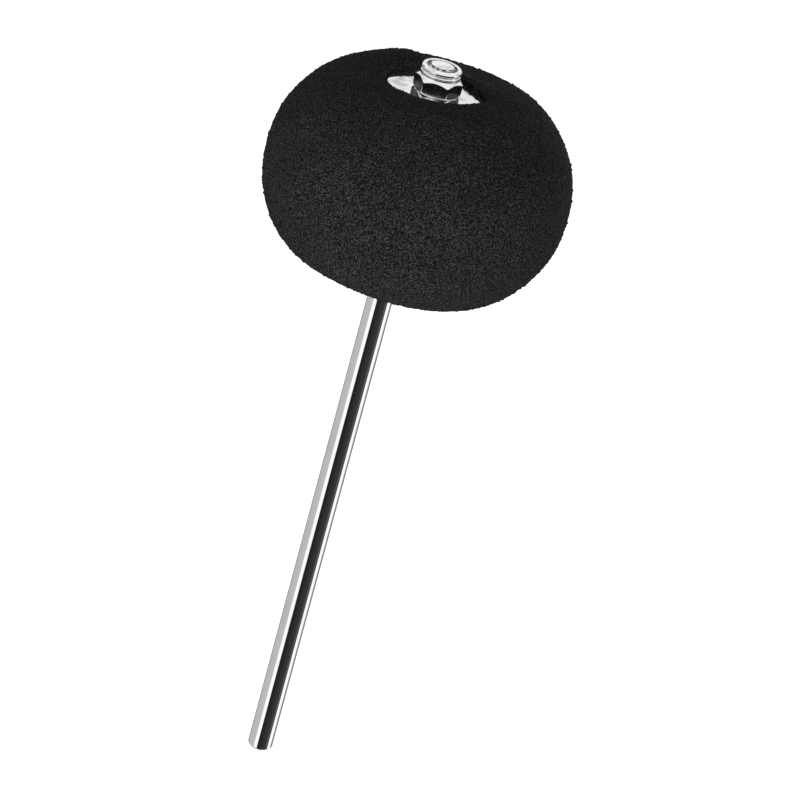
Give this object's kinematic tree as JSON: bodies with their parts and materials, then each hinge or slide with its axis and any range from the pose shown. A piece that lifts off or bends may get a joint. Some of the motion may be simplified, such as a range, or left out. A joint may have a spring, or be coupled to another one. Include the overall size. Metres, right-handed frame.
{
  "type": "pedal beater",
  "caption": "Pedal beater for a cajon: oblate black foam head clamped between wide washers by nuts on a straight chromed shaft.",
  "frame": {"origin": "centre of the shaft's lower end face, the end that goes into the pedal", "axes": "+Z along the shaft towards the foam head; X and Y across the shaft"},
  "size_m": [0.0934, 0.0934, 0.2416],
  "materials": {
    "polished_chrome": "polished",
    "black_foam": "matte",
    "washer_plating": "polished",
    "nut_plating": "gloss",
    "natural_nylon": "satin"
  },
  "bodies": {
    "root": {"beater_shaft": "polished_chrome", "foam_head": "black_foam", "upper_washer": "washer_plating", "lower_washer": "washer_plating", "lock_nut": "nut_plating", "lower_nut": "nut_plating", "nylon_insert": "natural_nylon"}
  },
  "joints": []
}
